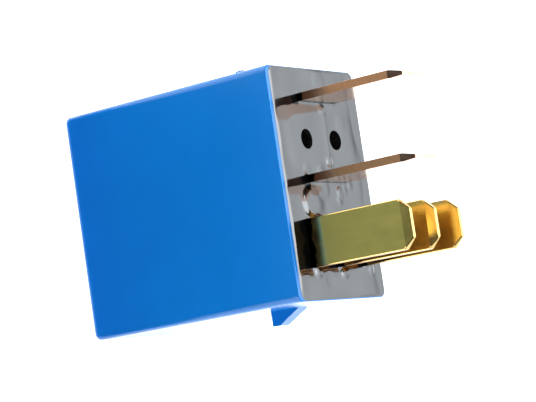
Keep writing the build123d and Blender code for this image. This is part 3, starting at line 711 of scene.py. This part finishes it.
class GeometryTree:
    """A geometry tree with named inputs, a Group Output, and a short way to add and link nodes."""

    def __init__(self, name, inputs):
        self.group = bpy.data.node_groups.new(name, "GeometryNodeTree")
        self.group.interface.new_socket("Geometry", in_out="OUTPUT", socket_type="NodeSocketGeometry")
        for label, kind in inputs.items():
            self.group.interface.new_socket(label, in_out="INPUT", socket_type="NodeSocket" + kind)
        self.given = self.group.nodes.new("NodeGroupInput")

    def add(self, kind, **inputs):
        """A node whose inputs are values or other sockets; an underscore in a name stands for a space."""
        node = self.group.nodes.new(kind)
        for name, value in inputs.items():
            socket = node.inputs[name.replace("_", " ")]
            if isinstance(value, bpy.types.NodeSocket):
                self.group.links.new(value, socket)
            else:
                socket.default_value = value
        return node

    def maths(self, operation, first, second):
        """A Math node's result."""
        node = self.group.nodes.new("ShaderNodeMath")
        node.operation = operation
        for socket, value in zip(node.inputs, (first, second)):
            if isinstance(value, bpy.types.NodeSocket):
                self.group.links.new(value, socket)
            else:
                socket.default_value = value
        return node.outputs["Value"]

    def close(self, geometry):
        """Ends the tree: real geometry, the finish set, and the output."""
        finish = self.given.outputs["Finish"]
        real = self.add("GeometryNodeRealizeInstances", Geometry=geometry)
        done = self.add("GeometryNodeSetMaterial", Geometry=real.outputs["Geometry"], Material=finish)
        out = self.group.nodes.new("NodeGroupOutput")
        self.group.links.new(done.outputs["Geometry"], out.inputs["Geometry"])

    def grow(self, name, values):
        """The plain mesh that the tree makes from these inputs."""
        host = bpy.data.objects.new(name + "_host", bpy.data.meshes.new(name + "_host"))
        bpy.context.scene.collection.objects.link(host)
        maker = host.modifiers.new(name, "NODES")
        maker.node_group = self.group
        for item in self.group.interface.items_tree:
            if item.in_out == "INPUT":
                maker[item.identifier] = values[item.name]
        seen = host.evaluated_get(bpy.context.evaluated_depsgraph_get())
        mesh = bpy.data.meshes.new_from_object(seen)
        bpy.data.objects.remove(host)
        return mesh


# ---------------------------------------------------------------- coil winding

WANDERS_PER_METRE = 900


def winding_tree():
    """A helix of round wire over a solid packing, wandering slightly from turn to turn."""
    tree = GeometryTree(
        "wound_coil",
        {
            "Turns": "Float",
            "Wire Radius": "Float",
            "Helix Radius": "Float",
            "Length": "Float",
            "Foot": "Vector",
            "Unevenness": "Float",
            "Seed": "Float",
            "Finish": "Material",
        },
    )
    given = tree.given.outputs
    helix = tree.add(
        "GeometryNodeCurveSpiral",
        Resolution=36,
        Rotations=given["Turns"],
        Start_Radius=given["Helix Radius"],
        End_Radius=given["Helix Radius"],
        Height=given["Length"],
    )
    wander = tree.group.nodes.new("ShaderNodeTexNoise")
    wander.noise_dimensions = "4D"
    wander.inputs["Scale"].default_value = WANDERS_PER_METRE
    tree.group.links.new(given["Seed"], wander.inputs["W"])
    middle = tree.maths("SUBTRACT", wander.outputs["Fac"], 0.5)
    lift = tree.add("ShaderNodeCombineXYZ", Z=tree.maths("MULTIPLY", middle, given["Unevenness"]))
    laid = tree.add("GeometryNodeSetPosition", Geometry=helix.outputs["Curve"], Offset=lift.outputs["Vector"])
    wire = tree.add("GeometryNodeCurvePrimitiveCircle", Resolution=8, Radius=given["Wire Radius"])
    turns = tree.add(
        "GeometryNodeCurveToMesh",
        Curve=laid.outputs["Geometry"],
        Profile_Curve=wire.outputs["Curve"],
        Fill_Caps=True,
    )
    top = tree.add("ShaderNodeCombineXYZ", Z=given["Length"])
    axis = tree.add("GeometryNodeCurvePrimitiveLine", End=top.outputs["Vector"])
    girth = tree.add("GeometryNodeCurvePrimitiveCircle", Resolution=72, Radius=given["Helix Radius"])
    packing = tree.add(
        "GeometryNodeCurveToMesh",
        Curve=axis.outputs["Curve"],
        Profile_Curve=girth.outputs["Curve"],
        Fill_Caps=True,
    )
    both = tree.add("GeometryNodeJoinGeometry")
    tree.group.links.new(turns.outputs["Mesh"], both.inputs["Geometry"])
    tree.group.links.new(packing.outputs["Mesh"], both.inputs["Geometry"])
    placed = tree.add("GeometryNodeTransform", Geometry=both.outputs["Geometry"], Translation=given["Foot"])
    tree.close(placed.outputs["Geometry"])
    return tree


def make_winding():
    """The bobbin's outermost layer of magnet wire, turn beside turn between the flanges."""
    low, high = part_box("coil_winding")
    wire, gap = 0.1 * MM, 0.03 * MM
    length = high.z - low.z - 2 * wire - 2 * gap
    pitch = 2.02 * wire
    values = {
        "Turns": math.floor(length / pitch),
        "Wire Radius": wire,
        "Helix Radius": (high.x - low.x) / 2 - wire,
        "Length": length,
        "Foot": (CORE_X * MM, 0, low.z + wire + gap),
        "Unevenness": 0.05 * MM,
        "Seed": 4.0,
        "Finish": magnet_wire,
    }
    mesh = winding_tree().grow("magnet_wire_turns", values)
    settle(new_piece("magnet_wire_turns", mesh, magnet_wire), "base_unit", "coil_wire", "coil_winding")


# ---------------------------------------------------------------- rivets


# A round-head rivet: radius of shank and head, height of head and of its rim, and its small chamfers
SHANK_R, HEAD_R, HEAD_H, HEAD_RIM = 0.63, 1.08, 0.44, 0.1
UPSET_W, UPSET_H, HEAD_BREAK = 0.08, 0.06, 0.04
ARM_RIVET_X = 2.6
SPRING_LOW = -CLOSED_GAP - ARMATURE_T - HINGE_SPRING_T - CONTACT_SPRING_T


def rivet_tree():
    """A pair of rivets a spacing apart along Y, turned and moved to its place."""
    inputs = {
        "Rivet": "Object",
        "Spacing": "Float",
        "Place": "Vector",
        "Turn": "Rotation",
        "Finish": "Material",
    }
    tree = GeometryTree("rivet_pair", inputs)
    given = tree.given.outputs
    start = tree.add("ShaderNodeCombineXYZ", Y=tree.maths("MULTIPLY", given["Spacing"], -0.5))
    step = tree.add("ShaderNodeCombineXYZ", Y=given["Spacing"])
    row = tree.add(
        "GeometryNodeMeshLine",
        Count=2,
        Start_Location=start.outputs["Vector"],
        Offset=step.outputs["Vector"],
    )
    shape = tree.add("GeometryNodeObjectInfo", Object=given["Rivet"])
    pair = tree.add(
        "GeometryNodeInstanceOnPoints",
        Points=row.outputs["Mesh"],
        Instance=shape.outputs["Geometry"],
    )
    placed = tree.add(
        "GeometryNodeTransform",
        Geometry=pair.outputs["Instances"],
        Translation=given["Place"],
        Rotation=given["Turn"],
    )
    tree.close(placed.outputs["Geometry"])
    return tree


def rivet_profile(length):
    """Half outline of a round-head rivet: upset tail, shank, flat under-head and domed crown."""
    tail = [(0, -length), (SHANK_R - UPSET_W, -length), (SHANK_R, -length + UPSET_H)]
    under_head = [(SHANK_R, 0), (HEAD_R - HEAD_BREAK, 0), (HEAD_R, HEAD_BREAK)]
    crown = []
    for angle in np.linspace(0, math.pi / 2, 9)[:-1]:
        crown.append((HEAD_R * math.cos(angle), HEAD_RIM + (HEAD_H - HEAD_RIM) * math.sin(angle)))
    return tail + under_head + crown + [(0, HEAD_H)]


def turned_mesh(name, profile, steps=36):
    """A closed solid of revolution about Z from (radius, height) points, with both ends on the axis."""
    work = bmesh.new()
    turns = [math.tau * i / steps for i in range(steps)]
    rings = []
    for radius, height in profile:
        around = turns if radius else turns[:1]
        reach, rise = radius * MM, height * MM
        rings.append([work.verts.new((reach * math.cos(t), reach * math.sin(t), rise)) for t in around])
    for low, high in zip(rings, rings[1:]):
        for i in range(steps):
            a, b = low[i % len(low)], low[(i + 1) % len(low)]
            c, d = high[(i + 1) % len(high)], high[i % len(high)]
            work.faces.new(list(dict.fromkeys((a, b, c, d))))
    mesh = finished_mesh(name, work)
    shade_smooth(mesh, 35)
    return mesh


def make_rivets():
    """Round-head rivets: two pairs through the yoke, and the pair under the armature."""
    tree = rivet_tree()
    outward = (0, -math.pi / 2, 0)
    under = (math.pi, -OPEN_ANGLE, 0)
    joint_x, joint_z = swung(ARM_RIVET_X, SPRING_LOW)
    # Piece, CAD node, place, turn, spacing, shank length and body of each pair
    pairs = (
        ("common_terminal_rivets", "terminal_rivets", (-8.8, 0, 17.2), outward, 3.6, 2.1, "base_unit"),
        ("hinge_spring_rivets", "spring_rivets", (-8.2, 0, 10.6), outward, 3.6, 1.5, "base_unit"),
        ("armature_spring_rivets", "armature_rivets", (joint_x, 0, joint_z), under, 3.4, 1.65, "armature"),
    )
    for name, node, place, turn, spacing, length, body in pairs:
        mesh = turned_mesh(name + "_shape", rivet_profile(length))
        shape = bpy.data.objects.new(name + "_shape", mesh)
        values = {
            "Rivet": shape,
            "Spacing": spacing * MM,
            "Place": [p * MM for p in place],
            "Turn": turn,
            "Finish": rivet_steel,
        }
        bpy.context.scene.collection.objects.link(shape)
        grown = tree.grow(name, values)
        bpy.data.objects.remove(shape)
        settle(new_piece(name, grown, rivet_steel), body, "rivet_steel", node)


# ---------------------------------------------------------------- hinge spring

# The leaf: where its middle runs beside the yoke and under the armature, its half width and radii
LEAF_X = HINGE_X - HINGE_SPRING_T / 2
LEAF_Z = -CLOSED_GAP - ARMATURE_T - HINGE_SPRING_T / 2
LEAF_HALF_Y, LEAF_END_R, LEAF_BEND_R = 3.0, 0.6, 0.6
LEAF_BOW, LEAF_REACH, LEAF_NUDGE = -1.35, 4.3, 0.05
LEAF_CORNERS = [
    (LEAF_X, 12.1),
    (LEAF_X, 8.1),
    (HINGE_X + LEAF_BOW, 6.7),
    swung(LEAF_BOW, LEAF_Z),
    swung(LEAF_REACH, LEAF_Z),
]


def rounded_route(points, radius, steps=8):
    """A flat route through points, with an arc of the given radius at each inner corner."""
    route = [Vector(points[0])]
    for before, corner, after in zip(points, points[1:], points[2:]):
        corner = Vector(corner)
        back = (Vector(before) - corner).normalized()
        ahead = (Vector(after) - corner).normalized()
        half = back.angle(ahead) / 2
        middle = corner + (back + ahead).normalized() * radius / math.sin(half)
        reach = radius / math.tan(half)
        first, last = corner + back * reach - middle, corner + ahead * reach - middle
        for i in range(steps + 1):
            swing = first.lerp(last, i / steps)
            route.append(middle + swing.normalized() * radius)
    return route + [Vector(points[-1])]


def leaf_stops(total):
    """Distances along the leaf at which it is drawn: close together at its round ends, even in between."""
    start = np.linspace(0, LEAF_END_R, 7)
    middle = np.linspace(LEAF_END_R, total - LEAF_END_R, 90)
    end = np.linspace(total - LEAF_END_R, total, 7)
    return sorted({round(s, 3) for s in np.concatenate((start, middle, end))})


def leaf_rings(work, across):
    """Rings of points round the leaf's section, one at each stop along its route."""
    route = rounded_route(LEAF_CORNERS, LEAF_BEND_R)
    lengths = [0.0]
    for a, b in zip(route, route[1:]):
        lengths.append(lengths[-1] + (b - a).length)
    total = lengths[-1]

    def spot(distance):
        """X and Z of the leaf's middle at a distance along it."""
        return [float(np.interp(distance, lengths, [p[k] for p in route])) for k in (0, 1)]

    rings = []
    for stop in leaf_stops(total):
        at = spot(stop)
        ahead = spot(min(stop + LEAF_NUDGE, total))
        behind = spot(max(stop - LEAF_NUDGE, 0))
        run = Vector((ahead[0] - behind[0], ahead[1] - behind[1])).normalized()
        side = Vector((-run.y, run.x)) * HINGE_SPRING_T / 2
        from_end = min(stop, total - stop, LEAF_END_R)
        narrow = LEAF_END_R - math.sqrt(max(LEAF_END_R**2 - (LEAF_END_R - from_end) ** 2, 0))
        half = LEAF_HALF_Y - narrow
        ring = []
        for sign, order in ((1, across), (-1, across[::-1])):
            x, z = at[0] + sign * side.x, at[1] + sign * side.y
            ring += [work.verts.new(Vector((x, half * t, z)) * MM) for t in order]
        rings.append(ring)
    return rings


def make_hinge_spring():
    """The bowed bronze leaf, with rounded ends, that bends between the yoke and the armature."""
    work = bmesh.new()
    across = np.linspace(-1, 1, 13)
    rings = leaf_rings(work, across)
    for low, high in zip(rings, rings[1:]):
        for i in range(len(low)):
            work.faces.new((low[i], low[(i + 1) % len(low)], high[(i + 1) % len(low)], high[i]))
    count = len(across)
    for ring in (rings[0], rings[-1]):
        for i in range(count - 1):
            work.faces.new((ring[i], ring[i + 1], ring[2 * count - 2 - i], ring[2 * count - 1 - i]))
    mesh = finished_mesh("hinge_leaf", work)
    shade_smooth(mesh, 50)
    leaf = new_piece("hinge_leaf", mesh, bronze)
    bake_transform(leaf)
    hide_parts("hinge_spring")


# ---------------------------------------------------------------- coil ends


def drawn_wire(name, routes, radius):
    """Round wires along routes of points in millimetres, as one closed mesh."""
    curve = bpy.data.curves.new(name, "CURVE")
    curve.dimensions = "3D"
    curve.bevel_depth = radius * MM
    curve.bevel_resolution = 3
    curve.use_fill_caps = True
    for route in routes:
        spline = curve.splines.new("POLY")
        spline.points.add(len(route) - 1)
        for point, place in zip(spline.points, route):
            point.co = (*[c * MM for c in place], 1)
    host = bpy.data.objects.new(name, curve)
    bpy.context.scene.collection.objects.link(host)
    mesh = bpy.data.meshes.new_from_object(host.evaluated_get(bpy.context.evaluated_depsgraph_get()))
    bpy.data.objects.remove(host)
    return mesh


def make_coil_ends():
    """Each end of the winding: out over the flange, then close turns round its coil terminal's leg."""
    leg_x, leg_half_y, wire = (5.2, 7.0), 0.4, 0.1
    turns, per_turn, first_z = 5, 24, 16.66
    mid_x = sum(leg_x) / 2
    half_x, half_y = (leg_x[1] - leg_x[0]) / 2 + wire, leg_half_y + wire
    over_flange = [
        (2.0, 3.25, 16.7),
        (2.7, 3.42, 16.73),
        (3.4, 3.6, 16.72),
        (4.1, 3.8, 16.7),
        (4.7, 3.95, 16.68),
    ]
    round_leg = []
    for i in range(turns * per_turn + 1):
        angle = math.pi * 1.25 + math.tau * i / per_turn
        reach = 1 / max(abs(math.cos(angle)), abs(math.sin(angle)))
        box_x = max(-1, min(1, math.cos(angle) * reach))
        box_y = max(-1, min(1, math.sin(angle) * reach))
        height = first_z + 2 * wire * i / per_turn
        round_leg.append((mid_x + half_x * box_x, COIL_Y + half_y * box_y, height))
    routes = [[(x, side * y, z) for x, y, z in over_flange + round_leg] for side in (-1, 1)]
    mesh = drawn_wire("coil_end_wires", routes, wire)
    mesh.polygons.foreach_set("use_smooth", [True] * len(mesh.polygons))
    settle(new_piece("coil_end_wires", mesh, magnet_wire), "base_unit", "coil_wire", "coil_ends")


make_compound()
make_winding()
make_rivets()
make_hinge_spring()
make_coil_ends()
